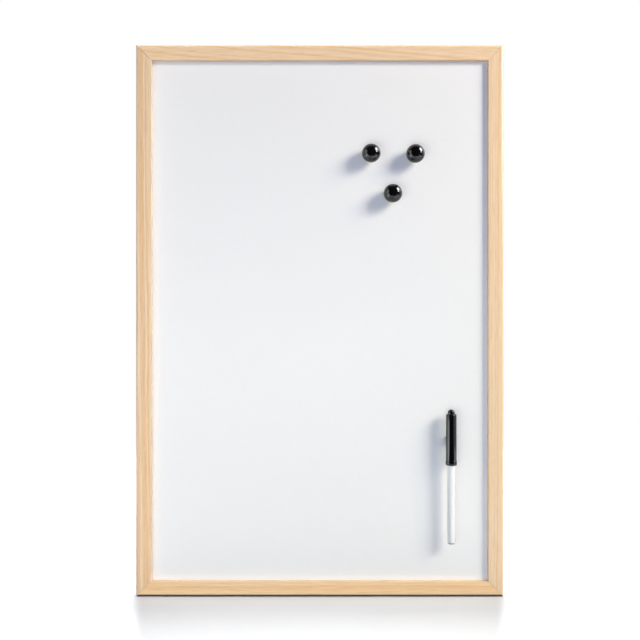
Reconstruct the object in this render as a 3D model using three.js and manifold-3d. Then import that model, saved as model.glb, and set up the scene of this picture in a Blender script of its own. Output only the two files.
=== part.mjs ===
// A magnetic memo board in a mitred pine frame, hung upright on a wall.
// Three ball magnets and a marker with a magnet in its cap lie on the white steel.
// Lengths are millimetres. X runs to the right, Z up, and the front faces -Y.
// The origin is the hang point: the middle notch of the top hanger, on the frame's back.

import * as THREE from 'three';
import { mergeVertices } from 'three/addons/utils/BufferGeometryUtils.js';
import Module from 'manifold-3d';

const wasm = await Module();
wasm.setup();

// Fits shared by many pieces
const seatClearance = 0.3;
const cutOverrun = 1;

// Frame: four mitred lengths of one rabbeted pine moulding
const frameWidth = 400;
const frameHeight = 600;
const frameDepth = 16;
const faceWidth = 17;
const rabbetWidth = 6.5;
const recessDepth = 5;
const outerArrisRadius = 3;
const sightArrisRadius = 0.5;
const backArrisRadius = 0.8;

// Writing panel: lacquered steel sheet on a hardboard back
const sheetThickness = 0.5;
const backingThickness = 3;
const panelEdgeGap = 1;
const panelCornerRadius = 1.5;

// V-nails that draw each mitre together, two to a corner
const vNailLeg = 5;
const vNailHeight = 8;
const vNailThickness = 0.6;
const vNailSink = 0.4;
const vNailPlaceShares = [0.27, 0.68];

// Pointed steel tabs that hold the panel in the rabbet
const tabLength = 14;
const tabWidth = 6;
const tabThickness = 0.5;
const tabGrip = 6;
const tabPointLength = 3;
const tabTipWidth = 1.2;
const railTabShares = [-0.28, 0.28];
const stileTabShares = [-0.3, 0, 0.3];

// Sawtooth hangers and the round-head nails that hold them
const hangerLength = 45;
const hangerHeight = 9;
const hangerThickness = 0.7;
const hangerRise = 1.9;
const hangerEarLength = 6.5;
const hangerRampLength = 2.6;
const hangerCornerRadius = 1.5;
const toothPitch = 3.2;
const toothDepth = 1.8;
const toothValleyWidth = 0.6;
const nailShankDiameter = 1.2;
const nailLength = 9;
const nailPointLength = 1.6;
const nailHeadDiameter = 3.2;
const nailHeadThickness = 0.8;

// Ball magnets: a plastic ball on a short foot, with a disc magnet let into it
const ballDiameter = 20;
const ballCentreHeight = 11;
const ballFootDiameter = 10.6;
const ballFootChamfer = 0.4;
const discDiameter = 8;
const discThickness = 3;
const discChamfer = 0.3;
const discRecess = 0.2;
const magnetPlaceShares = [
  [0.1514, 0.3193],
  [0.2816, 0.3184],
  [0.2154, 0.2429],
];

// Marker: its axis is upright, cap at the top
const markerStandoff = 12;
const markerSideGap = 41.5;
const markerTopShare = -0.1687;
const markerLength = 144.4;
const barrelDiameter = 8;
const barrelWall = 0.8;
const barrelEdgeRadius = 0.4;
const capLength = 59.6;
const capDiameter = 11.5;
const capDraft = 0.1;
const capWall = 1.9;
const capCrownThickness = 3;
const capShoulderRadius = 1.4;
const capBeadDiameter = 12.2;
const capBeadLength = 4.2;
const capNubDiameter = 7.6;
const capNubHeight = 4.8;
const capNubCollar = 1.6;
const capFit = 0.15;

// Magnet boss on the back of the cap
const bossDiameter = 8.6;
const bossChamfer = 0.4;
const bossHeight = 27;
const capDiscDiameter = 6;
const capDiscThickness = 3;

// Nose, nib and ink store inside the cap and barrel
const noseDiameter = 6.2;
const noseCollarLength = 1.4;
const noseBodyLength = 16;
const noseConeLength = 13;
const noseTipDiameter = 4.4;
const nosePlugLength = 12;
const nibDiameter = 2.6;
const nibReach = 6.5;
const reservoirEndGap = 7;
const plugHeadThickness = 1.2;
const plugHeadInset = 0.3;
const plugSpigotLength = 6;

// Smoothness of the round pieces
const ballSides = 32;
const ballArcSteps = 16;
const markerSides = 28;
const smallSides = 14;
const arrisSteps = 4;

// Planes and places that follow from the sizes above
const openingWidth = frameWidth - 2 * faceWidth;
const openingHeight = frameHeight - 2 * faceWidth;
const rimWidth = faceWidth - rabbetWidth;
const nailLineDrop = rimWidth / 2;
const hangerLowerDrop = nailLineDrop + hangerHeight / 2;
const hangDrop = hangerLowerDrop - toothDepth;
const boardCentreZ = hangDrop - frameHeight / 2;
const lipBackY = recessDepth - frameDepth;
const sheetFrontY = lipBackY + seatClearance;
const sheetBackY = sheetFrontY + sheetThickness;
const backingFrontY = sheetBackY + seatClearance;
const backingBackY = backingFrontY + backingThickness;
const tabFrontY = backingBackY + seatClearance;
const capBoreDiameter = capDiameter - 2 * capWall;
const capBoreDepth = capLength - capNubHeight - capCrownThickness;
const barrelBoreDiameter = barrelDiameter - 2 * barrelWall;
const markerTailZ = capLength - markerLength;
const plugSpigotTopZ = markerTailZ + plugHeadThickness + plugSpigotLength;

const materials = {
  pine: new THREE.MeshStandardMaterial({ color: 0xe9c9a5, roughness: 0.55, metalness: 0 }),
  whiteLacquer: new THREE.MeshStandardMaterial({ color: 0xf0f0f0, roughness: 0.3, metalness: 0 }),
  hardboard: new THREE.MeshStandardMaterial({ color: 0x7a5a3c, roughness: 0.8, metalness: 0 }),
  zincSteel: new THREE.MeshStandardMaterial({ color: 0xb4b7ba, roughness: 0.4, metalness: 1 }),
  brassedSteel: new THREE.MeshStandardMaterial({ color: 0xc9a85c, roughness: 0.35, metalness: 1 }),
  nickel: new THREE.MeshStandardMaterial({ color: 0xcfcac0, roughness: 0.2, metalness: 1 }),
  blackGloss: new THREE.MeshStandardMaterial({ color: 0x08080a, roughness: 0.08, metalness: 0 }),
  whitePlastic: new THREE.MeshStandardMaterial({ color: 0xf2f2f2, roughness: 0.25, metalness: 0 }),
  greyPlastic: new THREE.MeshStandardMaterial({ color: 0xb9babb, roughness: 0.4, metalness: 0 }),
  felt: new THREE.MeshStandardMaterial({ color: 0x17181b, roughness: 0.95, metalness: 0 }),
  inkFibre: new THREE.MeshStandardMaterial({ color: 0x2b2d33, roughness: 0.95, metalness: 0 }),
};

// Solid of a closed geometry, for cutting and joining.
function solidOf(geometry) {
  const bare = geometry.clone();
  bare.deleteAttribute('normal');
  bare.deleteAttribute('uv');
  const merged = mergeVertices(bare);
  const vertProperties = new Float32Array(merged.attributes.position.array);
  const triVerts = new Uint32Array(merged.index.array);
  return new wasm.Manifold(new wasm.Mesh({ numProp: 3, vertProperties, triVerts }));
}

// Geometry of a solid, for a mesh.
function geometryOf(solid) {
  const { vertProperties, triVerts } = solid.getMesh();
  const geometry = new THREE.BufferGeometry();
  geometry.setAttribute('position', new THREE.BufferAttribute(vertProperties, 3));
  geometry.setIndex(new THREE.BufferAttribute(triVerts, 1));
  geometry.computeVertexNormals();
  return geometry;
}

// One geometry less each of a list of cutters.
function cutFrom(geometry, cutters) {
  const cutAway = (solid, cutter) => solid.subtract(solidOf(cutter));
  return geometryOf(cutters.reduce(cutAway, solidOf(geometry)));
}

function namedMesh(name, geometry, material) {
  const mesh = new THREE.Mesh(geometry, material);
  mesh.name = name;
  return mesh;
}

// Extrusion of an outline drawn on the XZ plane, from nearY to farY.
function extrudeAlongY(shape, nearY, farY, curveSegments = arrisSteps) {
  const geometry = new THREE.ExtrudeGeometry(shape, {
    depth: farY - nearY,
    bevelEnabled: false,
    curveSegments,
  });
  geometry.rotateX(Math.PI / 2);
  geometry.translate(0, farY, 0);
  return geometry;
}

// Rectangle centred on the origin, with its corners rounded.
function roundedRectangle(width, height, radius) {
  const x = width / 2;
  const y = height / 2;
  const r = Math.min(radius, x, y);
  const shape = new THREE.Shape();
  shape.moveTo(-x + r, -y);
  shape.lineTo(x - r, -y);
  shape.absarc(x - r, -y + r, r, -Math.PI / 2, 0);
  shape.lineTo(x, y - r);
  shape.absarc(x - r, y - r, r, 0, Math.PI / 2);
  shape.lineTo(-x + r, y);
  shape.absarc(-x + r, y - r, r, Math.PI / 2, Math.PI);
  shape.lineTo(-x, -y + r);
  shape.absarc(-x + r, -y + r, r, Math.PI, 1.5 * Math.PI);
  return shape;
}

// Points of a quarter or other arc, for the profile of a turned piece.
function arcPoints(centreR, centreZ, radius, fromAngle, toAngle, steps) {
  const points = [];
  for (let i = 0; i <= steps; i += 1) {
    const angle = fromAngle + ((toAngle - fromAngle) * i) / steps;
    points.push([centreR + radius * Math.cos(angle), centreZ + radius * Math.sin(angle)]);
  }
  return points;
}

// Turned piece about Z from a profile of [radius, z], listed from the bottom up round the outside.
function turned(profile, sides) {
  const points = profile.map(([radius, z]) => new THREE.Vector2(Math.max(radius, 0), z));
  const geometry = new THREE.LatheGeometry(points, sides);
  geometry.rotateX(Math.PI / 2);
  return geometry;
}

// Frame members

// Section of the moulding: x from the outer edge to the sight edge, y from the front to the back.
function mouldingSection() {
  const front = -frameDepth;
  const outer = outerArrisRadius;
  const sight = sightArrisRadius;
  const back = backArrisRadius;
  const section = new THREE.Shape();
  section.moveTo(0, front + outer);
  section.absarc(outer, front + outer, outer, Math.PI, 1.5 * Math.PI);
  section.lineTo(faceWidth - sight, front);
  section.absarc(faceWidth - sight, front + sight, sight, -Math.PI / 2, 0);
  section.lineTo(faceWidth, lipBackY);
  section.lineTo(rimWidth, lipBackY);
  section.lineTo(rimWidth, 0);
  section.lineTo(back, 0);
  section.absarc(back, -back, back, Math.PI / 2, Math.PI);
  return section;
}

// Plan of a member, drawn with its outer edge on z = 0: a long trapezium with mitred ends.
function mitrePlan(length) {
  const end = length / 2 - (seatClearance / 2) * Math.SQRT2;
  const deep = faceWidth + cutOverrun;
  const plan = new THREE.Shape();
  plan.moveTo(-end - cutOverrun, cutOverrun);
  plan.lineTo(-end + deep, -deep);
  plan.lineTo(end - deep, -deep);
  plan.lineTo(end + cutOverrun, cutOverrun);
  return plan;
}

// A member as it lies along the top: outer edge up on z = 0, centred on x = 0.
function memberBlank(length) {
  const bar = new THREE.ExtrudeGeometry(mouldingSection(), {
    depth: length,
    bevelEnabled: false,
    curveSegments: arrisSteps,
  });
  // The section's x turns to -Z and its length runs along X.
  const place = new THREE.Matrix4().set(
    0, 0, 1, -length / 2,
    0, 1, 0, 0,
    -1, 0, 0, 0,
    0, 0, 0, 1,
  );
  bar.applyMatrix4(place);
  const plan = extrudeAlongY(mitrePlan(length), -frameDepth - cutOverrun, cutOverrun);
  return geometryOf(solidOf(bar).intersect(solidOf(plan)));
}

// V-nail outline at the left end of the top member: its point towards the outer corner.
function vNailOutline(place, leg, thickness) {
  const near = place - thickness / 2;
  const far = place + thickness / 2;
  const tip = near + leg;
  const outline = new THREE.Shape();
  outline.moveTo(near, -near);
  outline.lineTo(near, -tip);
  outline.lineTo(far, -tip);
  outline.lineTo(far, -far);
  outline.lineTo(tip, -far);
  outline.lineTo(tip, -near);
  return outline;
}

// V-nails of one corner, or their slots when a clearance is given.
function vNailsAt(cornerX, growth, farY) {
  const side = Math.sign(cornerX);
  return vNailPlaceShares.map((share) => {
    const outline = vNailOutline(share * rimWidth, vNailLeg + growth, vNailThickness + growth);
    const nearY = -vNailSink - vNailHeight - growth / 2;
    const nail = extrudeAlongY(outline, nearY, farY);
    if (side > 0) {
      nail.scale(-1, 1, 1);
      nail.setIndex(reversed(nail));
    }
    nail.translate(cornerX, 0, 0);
    return nail;
  });
}

// Triangle list with the winding turned round, for a mirrored geometry.
function reversed(geometry) {
  const count = geometry.attributes.position.count;
  const order = [];
  for (let i = 0; i < count; i += 3) {
    order.push(i, i + 2, i + 1);
  }
  return order;
}

// Pointed tab, drawn with its root end in the wood: y runs from the rabbet wall into the wood.
function tabOutline(growth) {
  const half = tabWidth / 2 + growth / 2;
  const tip = tabTipWidth / 2 + growth / 2;
  const free = tabGrip - tabLength;
  const grip = tabGrip + growth / 2;
  const outline = new THREE.Shape();
  outline.moveTo(-half, free);
  outline.lineTo(half, free);
  outline.lineTo(half, grip - tabPointLength);
  outline.lineTo(tip, grip);
  outline.lineTo(-tip, grip);
  outline.lineTo(-half, grip - tabPointLength);
  return outline;
}

// Tab or its slot, on a member as it lies along the top.
function tabAt(x, growth) {
  const nearY = tabFrontY - growth / 2;
  const tab = extrudeAlongY(tabOutline(growth), nearY, nearY + tabThickness + growth);
  tab.translate(x, 0, -rimWidth);
  return tab;
}

// Shank hole for a hanger nail, on a member as it lies along the top.
function nailHoleAt(x) {
  const depth = nailLength + seatClearance;
  const radius = nailShankDiameter / 2 + seatClearance;
  const hole = new THREE.CylinderGeometry(radius, radius, depth + cutOverrun, smallSides);
  hole.translate(x, (cutOverrun - depth) / 2, -nailLineDrop);
  return hole;
}

const nailOffset = (hangerLength - hangerEarLength) / 2;

function memberGeometry(length, tabShares, hasHanger) {
  const growth = 2 * seatClearance;
  const corners = [-length / 2, length / 2];
  const cutters = corners.flatMap((x) => vNailsAt(x, growth, cutOverrun));
  tabShares.forEach((share) => cutters.push(tabAt(share * length, growth)));
  if (hasHanger) {
    cutters.push(nailHoleAt(-nailOffset), nailHoleAt(nailOffset));
  }
  return cutFrom(memberBlank(length), cutters);
}

// Hanger pieces, as they lie on the top member

// Middle line of the bent strip, from one end to the other, seen from above.
function stripLine() {
  const end = hangerLength / 2;
  const ramp = end - hangerEarLength;
  const bridge = ramp - hangerRampLength;
  const low = seatClearance + hangerThickness / 2;
  const high = low + hangerRise;
  return [
    [-end, low],
    [-ramp, low],
    [-bridge, high],
    [bridge, high],
    [ramp, low],
    [end, low],
  ].map(([x, y]) => new THREE.Vector2(x, y));
}

// Line at one side of a bent strip, with its bends mitred.
function offsetLine(line, distance) {
  return line.map((point, i) => {
    const before = line[Math.max(i - 1, 0)];
    const after = line[Math.min(i + 1, line.length - 1)];
    const into = (i > 0 ? point.clone().sub(before) : after.clone().sub(point)).normalize();
    const out = (i < line.length - 1 ? after.clone().sub(point) : into.clone()).normalize();
    const normal = new THREE.Vector2(-into.y - out.y, into.x + out.x).normalize();
    const spread = distance / (normal.x * -into.y + normal.y * into.x);
    return point.clone().addScaledVector(normal, spread);
  });
}

// Cutter that leaves notches along the lower edge of the bridge, the middle one at x = 0.
function toothCutter(lowerEdgeZ) {
  const bridgeHalf = hangerLength / 2 - hangerEarLength - hangerRampLength;
  const notchesEachSide = Math.floor(bridgeHalf / toothPitch - 0.5);
  const below = lowerEdgeZ - cutOverrun;
  const end = (notchesEachSide + 0.5) * toothPitch;
  const cutter = new THREE.Shape();
  cutter.moveTo(-end, below);
  cutter.lineTo(end, below);
  cutter.lineTo(end, lowerEdgeZ);
  for (let i = notchesEachSide; i >= -notchesEachSide; i -= 1) {
    const x = i * toothPitch;
    cutter.lineTo(x + toothValleyWidth / 2, lowerEdgeZ + toothDepth);
    cutter.lineTo(x - toothValleyWidth / 2, lowerEdgeZ + toothDepth);
    cutter.lineTo(x - toothPitch / 2, lowerEdgeZ);
  }
  return cutter;
}

function hangerGeometry() {
  const line = stripLine();
  const wallSide = offsetLine(line, hangerThickness / 2);
  const woodSide = offsetLine(line, -hangerThickness / 2);
  const strip = new THREE.ExtrudeGeometry(new THREE.Shape([...woodSide, ...wallSide.reverse()]), {
    depth: hangerHeight,
    bevelEnabled: false,
  });
  strip.translate(0, 0, -hangerLowerDrop);

  const farY = seatClearance + hangerRise + hangerThickness + cutOverrun;
  const plan = extrudeAlongY(
    roundedRectangle(hangerLength, hangerHeight, hangerCornerRadius), 0, farY,
  );
  plan.translate(0, 0, -nailLineDrop);
  const teeth = extrudeAlongY(toothCutter(-hangerLowerDrop), 0, farY);
  const radius = nailShankDiameter / 2 + seatClearance;
  const holes = [-nailOffset, nailOffset].map((x) => {
    const hole = new THREE.CylinderGeometry(radius, radius, 2 * farY, smallSides);
    hole.translate(x, 0, -nailLineDrop);
    return hole;
  });
  const trimmed = solidOf(strip).intersect(solidOf(plan));
  return cutFrom(geometryOf(trimmed), [teeth, ...holes]);
}

// Round-head nail about Z, head up, with the underside of its head on z = 0.
function nailProfile() {
  const shank = nailShankDiameter / 2;
  const head = nailHeadDiameter / 2;
  const rim = nailHeadThickness / 3;
  const dome = nailHeadThickness - rim;
  const crown = [];
  for (let i = 0; i <= arrisSteps; i += 1) {
    const angle = ((Math.PI / 2) * i) / arrisSteps;
    crown.push([head * Math.cos(angle), rim + dome * Math.sin(angle)]);
  }
  return [[0, -nailLength], [shank, nailPointLength - nailLength], [shank, 0], [head, 0], ...crown];
}

function hangerNail(x) {
  const nail = turned(nailProfile(), smallSides);
  nail.rotateX(-Math.PI / 2);
  const headSeatY = 2 * seatClearance + hangerThickness;
  nail.translate(x, headSeatY, -nailLineDrop);
  return nail;
}

// Frame with its fasteners and hangers

// One side of the frame: its member and what is fixed to it, built as if along the top.
function frameSide({ name, length, tabShares, hangerName }) {
  const side = new THREE.Group();
  side.add(namedMesh(name, memberGeometry(length, tabShares, Boolean(hangerName)), materials.pine));
  tabShares.forEach((share, i) => {
    const tab = tabAt(share * length, 0);
    side.add(namedMesh(`${name}_tab_${i + 1}`, tab, materials.zincSteel));
  });
  if (hangerName) {
    side.add(namedMesh(hangerName, hangerGeometry(), materials.brassedSteel));
    [-nailOffset, nailOffset].forEach((x, i) => {
      const nail = hangerNail(x);
      side.add(namedMesh(`${hangerName}_nail_${i + 1}`, nail, materials.zincSteel));
    });
  }
  return side;
}

// V-nails of the left-hand corner of one side, built as if along the top.
function cornerNails(corner, length) {
  const group = new THREE.Group();
  vNailsAt(-length / 2, 0, -vNailSink).forEach((nail, i) => {
    group.add(namedMesh(`v_nail_${corner}_${i + 1}`, nail, materials.zincSteel));
  });
  return group;
}

const quarterTurn = Math.PI / 2;
const frameSides = [
  {
    name: 'rail_top', length: frameWidth, across: frameHeight, turn: 0,
    tabShares: railTabShares, hangerName: 'hanger_top', corner: 'top_left',
  },
  {
    name: 'stile_right', length: frameHeight, across: frameWidth, turn: 1,
    tabShares: stileTabShares, hangerName: null, corner: 'top_right',
  },
  {
    name: 'rail_bottom', length: frameWidth, across: frameHeight, turn: 2,
    tabShares: railTabShares, hangerName: null, corner: 'bottom_right',
  },
  {
    name: 'stile_left', length: frameHeight, across: frameWidth, turn: 3,
    tabShares: stileTabShares, hangerName: 'hanger_side', corner: 'bottom_left',
  },
];

// Turns a side clockwise, as seen from the front, to its place round the board's centre.
function placeSide(group, { across, turn }) {
  const holder = new THREE.Group();
  group.position.z = across / 2;
  holder.add(group);
  holder.rotation.y = turn * quarterTurn;
  return holder;
}

function frame() {
  const group = new THREE.Group();
  frameSides.forEach((side) => {
    group.add(placeSide(frameSide(side), side));
    group.add(placeSide(cornerNails(side.corner, side.length), side));
  });
  return group;
}

// Writing panel

function panel() {
  const group = new THREE.Group();
  const width = openingWidth + 2 * (rabbetWidth - panelEdgeGap);
  const height = openingHeight + 2 * (rabbetWidth - panelEdgeGap);
  const outline = roundedRectangle(width, height, panelCornerRadius);
  const sheet = extrudeAlongY(outline, sheetFrontY, sheetBackY);
  const backing = extrudeAlongY(outline, backingFrontY, backingBackY);
  group.add(namedMesh('steel_sheet', sheet, materials.whiteLacquer));
  group.add(namedMesh('backing_board', backing, materials.hardboard));
  return group;
}

// Ball magnets, drawn about Z with the foot down

function ballProfile() {
  const foot = ballFootDiameter / 2;
  const ball = ballDiameter / 2;
  const pocketRadius = discDiameter / 2 + seatClearance;
  const pocketDepth = discThickness + discRecess + seatClearance;
  const start = -Math.acos(foot / ball);
  const arc = arcPoints(0, ballCentreHeight, ball, start, Math.PI / 2, ballArcSteps);
  return [
    [0, pocketDepth],
    [pocketRadius, pocketDepth],
    [pocketRadius, 0],
    [foot - ballFootChamfer, 0],
    [foot, ballFootChamfer],
    ...arc,
  ];
}

function discProfile(diameter, thickness) {
  const radius = diameter / 2;
  return [
    [0, 0],
    [radius - discChamfer, 0],
    [radius, discChamfer],
    [radius, thickness - discChamfer],
    [radius - discChamfer, thickness],
    [0, thickness],
  ];
}

// Turns a piece drawn about Z so that its top faces the front.
function facingFront(geometry, baseY) {
  geometry.rotateX(Math.PI / 2);
  geometry.translate(0, baseY, 0);
  return geometry;
}

function ballMagnet(number) {
  const baseY = sheetFrontY - seatClearance;
  const magnet = new THREE.Group();
  const ball = facingFront(turned(ballProfile(), ballSides), baseY);
  const discBlank = turned(discProfile(discDiameter, discThickness), markerSides);
  const disc = facingFront(discBlank, baseY - discRecess);
  magnet.add(namedMesh(`magnet_${number}_ball`, ball, materials.blackGloss));
  magnet.add(namedMesh(`magnet_${number}_disc`, disc, materials.nickel));
  return magnet;
}

function magnets() {
  const group = new THREE.Group();
  magnetPlaceShares.forEach(([xShare, zShare], i) => {
    const magnet = ballMagnet(i + 1);
    magnet.position.set(xShare * openingWidth, 0, zShare * openingHeight);
    group.add(magnet);
  });
  return group;
}

// Marker, drawn about Z with the mouth of the cap on z = 0

function capOuterProfile() {
  const bead = capBeadDiameter / 2;
  const base = capDiameter / 2;
  const top = base - capDraft;
  const beadSag = bead - base;
  const shoulder = capLength - capNubHeight;
  const nub = capNubDiameter / 2;
  const halfTurn = arcPoints(0, 0, 1, -Math.PI / 2, Math.PI / 2, 2 * arrisSteps);
  const beadCurve = halfTurn.map(([across, along]) => [
    base + beadSag * across,
    (capBeadLength / 2) * (1 + along),
  ]);
  const r = capShoulderRadius;
  const shoulderCurve = arcPoints(top - r, shoulder - r, r, 0, Math.PI / 2, arrisSteps);
  const nubDome = capNubHeight - capNubCollar;
  const nubCurve = arcPoints(0, 0, 1, 0, Math.PI / 2, 2 * arrisSteps).map(([across, along]) => [
    nub * across,
    shoulder + capNubCollar + nubDome * along,
  ]);
  return [[0, 0], ...beadCurve, ...shoulderCurve, [nub, shoulder], ...nubCurve];
}

// Boss that carries the cap's magnet: a post from the cap's axis to the board.
function bossGeometry() {
  const reach = markerStandoff - seatClearance;
  const radius = bossDiameter / 2;
  const boss = turned([
    [0, 0],
    [radius - bossChamfer, 0],
    [radius, bossChamfer],
    [radius, reach],
    [0, reach],
  ], markerSides);
  return facingFront(boss, reach);
}

function capGeometry() {
  const outer = solidOf(turned(capOuterProfile(), markerSides));
  const boss = bossGeometry();
  boss.translate(0, 0, bossHeight);
  const whole = outer.add(solidOf(boss));
  const bore = capBoreDiameter / 2;
  const boreCut = turned([
    [0, -cutOverrun],
    [bore, -cutOverrun],
    [bore, capBoreDepth - capWall],
    [bore - capWall, capBoreDepth],
    [0, capBoreDepth],
  ], markerSides);
  const pocketRadius = capDiscDiameter / 2 + seatClearance;
  const pocketDepth = capDiscThickness + discRecess + seatClearance;
  const pocket = turned([
    [0, -cutOverrun],
    [pocketRadius, -cutOverrun],
    [pocketRadius, pocketDepth],
    [0, pocketDepth],
  ], markerSides);
  facingFront(pocket, markerStandoff - seatClearance);
  pocket.translate(0, 0, bossHeight);
  return cutFrom(geometryOf(whole), [boreCut, pocket]);
}

function barrelProfile() {
  const outer = barrelDiameter / 2;
  const inner = barrelBoreDiameter / 2;
  const top = -seatClearance;
  const bottom = markerTailZ + plugHeadThickness + seatClearance;
  const e = barrelEdgeRadius;
  return [
    [inner, bottom],
    ...arcPoints(outer - e, bottom + e, e, -Math.PI / 2, 0, arrisSteps),
    ...arcPoints(outer - e, top - e, e, 0, Math.PI / 2, arrisSteps),
    [inner, top],
    [inner, bottom],
  ];
}

function endPlugProfile() {
  const bottom = markerTailZ;
  const head = barrelDiameter / 2 - plugHeadInset;
  const spigot = barrelBoreDiameter / 2 - seatClearance;
  const headTop = bottom + plugHeadThickness;
  const e = barrelEdgeRadius;
  return [
    [0, bottom],
    ...arcPoints(head - e, bottom + e, e, -Math.PI / 2, 0, arrisSteps),
    [head, headTop],
    [spigot, headTop],
    [spigot, plugSpigotTopZ],
    [0, plugSpigotTopZ],
  ];
}

function noseProfile() {
  const bore = nibDiameter / 2 + seatClearance;
  const plug = barrelBoreDiameter / 2 - seatClearance;
  const collar = capBoreDiameter / 2 - capFit;
  const body = noseDiameter / 2;
  const tip = noseTipDiameter / 2;
  return [
    [bore, -nosePlugLength],
    [plug, -nosePlugLength],
    [plug, 0],
    [collar, 0],
    [collar, noseCollarLength],
    [body, noseCollarLength],
    [body, noseBodyLength],
    [tip, noseBodyLength + noseConeLength],
    [bore, noseBodyLength + noseConeLength],
    [bore, -nosePlugLength],
  ];
}

function nibProfile() {
  const radius = nibDiameter / 2;
  const bottom = -nosePlugLength;
  const top = noseBodyLength + noseConeLength + nibReach;
  return [
    [0, bottom],
    [radius, bottom],
    ...arcPoints(0, top - radius, radius, 0, Math.PI / 2, arrisSteps),
  ];
}

function reservoirProfile() {
  const radius = barrelBoreDiameter / 2 - seatClearance;
  const top = -nosePlugLength - seatClearance;
  const bottom = plugSpigotTopZ + reservoirEndGap;
  return [
    [0, bottom],
    [radius, bottom],
    [radius, top],
    [0, top],
  ];
}

function marker() {
  const group = new THREE.Group();
  const capDisc = facingFront(
    turned(discProfile(capDiscDiameter, capDiscThickness), markerSides),
    markerStandoff - seatClearance - discRecess,
  );
  capDisc.translate(0, 0, bossHeight);
  const pieces = [
    ['marker_cap', capGeometry(), materials.blackGloss],
    ['marker_cap_magnet', capDisc, materials.nickel],
    ['marker_barrel', turned(barrelProfile(), markerSides), materials.whitePlastic],
    ['marker_end_plug', turned(endPlugProfile(), markerSides), materials.greyPlastic],
    ['marker_nose', turned(noseProfile(), markerSides), materials.greyPlastic],
    ['marker_nib', turned(nibProfile(), smallSides), materials.felt],
    ['marker_reservoir', turned(reservoirProfile(), smallSides), materials.inkFibre],
  ];
  pieces.forEach(([name, geometry, material]) => group.add(namedMesh(name, geometry, material)));
  group.position.set(
    openingWidth / 2 - markerSideGap,
    sheetFrontY - markerStandoff,
    markerTopShare * openingHeight - capLength,
  );
  return group;
}

// Whole board

const memoBoard = new THREE.Group();
memoBoard.name = 'memo_board';
memoBoard.position.z = boardCentreZ;
memoBoard.add(frame(), panel(), magnets(), marker());
memoBoard.updateMatrixWorld(true);

export default memoBoard;
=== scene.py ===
# %% [markdown]
# A magnetic memo board, dressed for its portrait
#
# The board is a white enamelled steel sheet in a mitred pine frame. Three ball
# magnets and a slim marker are held on it. The construction comes in as fixed
# pieces. This lesson gives them their finishes, turns the round pieces again in
# finer steps, fills the mitres with glue, and lights the whole as a product
# photograph does.

import math

import bmesh
import bpy
from mathutils import Matrix, Vector


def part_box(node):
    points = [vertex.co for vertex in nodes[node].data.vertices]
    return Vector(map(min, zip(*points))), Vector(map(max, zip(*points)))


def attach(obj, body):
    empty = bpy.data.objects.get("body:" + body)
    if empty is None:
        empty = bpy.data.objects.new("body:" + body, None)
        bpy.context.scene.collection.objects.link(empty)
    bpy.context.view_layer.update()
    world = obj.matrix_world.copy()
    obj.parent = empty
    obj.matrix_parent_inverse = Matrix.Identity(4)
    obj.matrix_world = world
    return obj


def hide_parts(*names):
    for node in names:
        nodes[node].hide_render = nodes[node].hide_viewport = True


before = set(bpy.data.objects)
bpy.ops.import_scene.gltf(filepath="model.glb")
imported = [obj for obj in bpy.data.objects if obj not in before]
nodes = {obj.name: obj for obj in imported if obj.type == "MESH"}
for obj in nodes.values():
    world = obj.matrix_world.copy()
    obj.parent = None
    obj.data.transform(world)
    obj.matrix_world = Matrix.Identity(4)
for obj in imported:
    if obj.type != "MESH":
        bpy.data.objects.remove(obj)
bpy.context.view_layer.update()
print("pieces in the construction:", len(nodes))

# %% [markdown]
# Reading the sizes
#
# Every place in the scene is worked out from the boxes of the pieces, so that
# nothing has to be fitted by eye. One millimetre is 0.001 of a Blender unit.
# The board stands upright: X runs to the right, Y away from the camera, Z up.

# %% Planes and centres of the board
MM = 0.001


def mm(length):
    """A length in millimetres, rounded for a print."""
    return round(length / MM, 2)


def size_and_middle(node):
    """Size and centre of a piece's box."""
    low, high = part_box(node)
    return high - low, (low + high) / 2


rail_low, rail_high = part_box("rail_bottom")
top_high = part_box("rail_top")[1]
floor_z = rail_low.z
face_y = rail_low.y
sheet_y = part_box("steel_sheet")[0].y
board_centre = Vector((0, face_y, (floor_z + top_high.z) / 2))
board_height = top_high.z - floor_z
board_width = rail_high.x - rail_low.x
print("width, height and recess, mm:", mm(board_width), mm(board_height), mm(sheet_y - face_y))

# %% [markdown]
# The camera
#
# The photograph looks straight at the board from about 0.8 m. The frame's
# outline is 368 of the picture's 640 pixels wide, which fixes the field of
# view. The centre of the board lies just below the picture's centre.

# %% Camera
PICTURE_PIXELS = 640
OUTLINE_PIXELS = 368.1
CENTRE_DROP_PIXELS = 0.8
CENTRE_LEFT_PIXELS = 0.2
CAMERA_DISTANCE = 800 * MM
SENSOR_WIDTH = 36  # in mm, as Blender wants it


def into_scene(name, data):
    """A new object in the scene, from its data."""
    made = bpy.data.objects.new(name, data)
    bpy.context.scene.collection.objects.link(made)
    return made


metres_per_pixel = board_width / OUTLINE_PIXELS
camera_data = bpy.data.cameras.new("camera")
camera_data.sensor_width = SENSOR_WIDTH
camera_data.lens = SENSOR_WIDTH * CAMERA_DISTANCE / (PICTURE_PIXELS * metres_per_pixel)
camera_data.dof.use_dof = False
camera = into_scene("camera", camera_data)
camera.location = (
    board_centre.x + CENTRE_LEFT_PIXELS * metres_per_pixel,
    face_y - CAMERA_DISTANCE,
    board_centre.z + CENTRE_DROP_PIXELS * metres_per_pixel,
)
camera.rotation_euler = (math.radians(90), 0, 0)
bpy.context.scene.camera = camera
bpy.context.scene.view_settings.view_transform = "Standard"
print("lens, mm:", round(camera_data.lens, 2))

# %% [markdown]
# Tools for materials
#
# Colours are written as the hex values that a picture editor shows, and turned
# into linear light by one function. One more function adds a node with its
# settings and its links, so that a material reads as a list of what it does.

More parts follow.
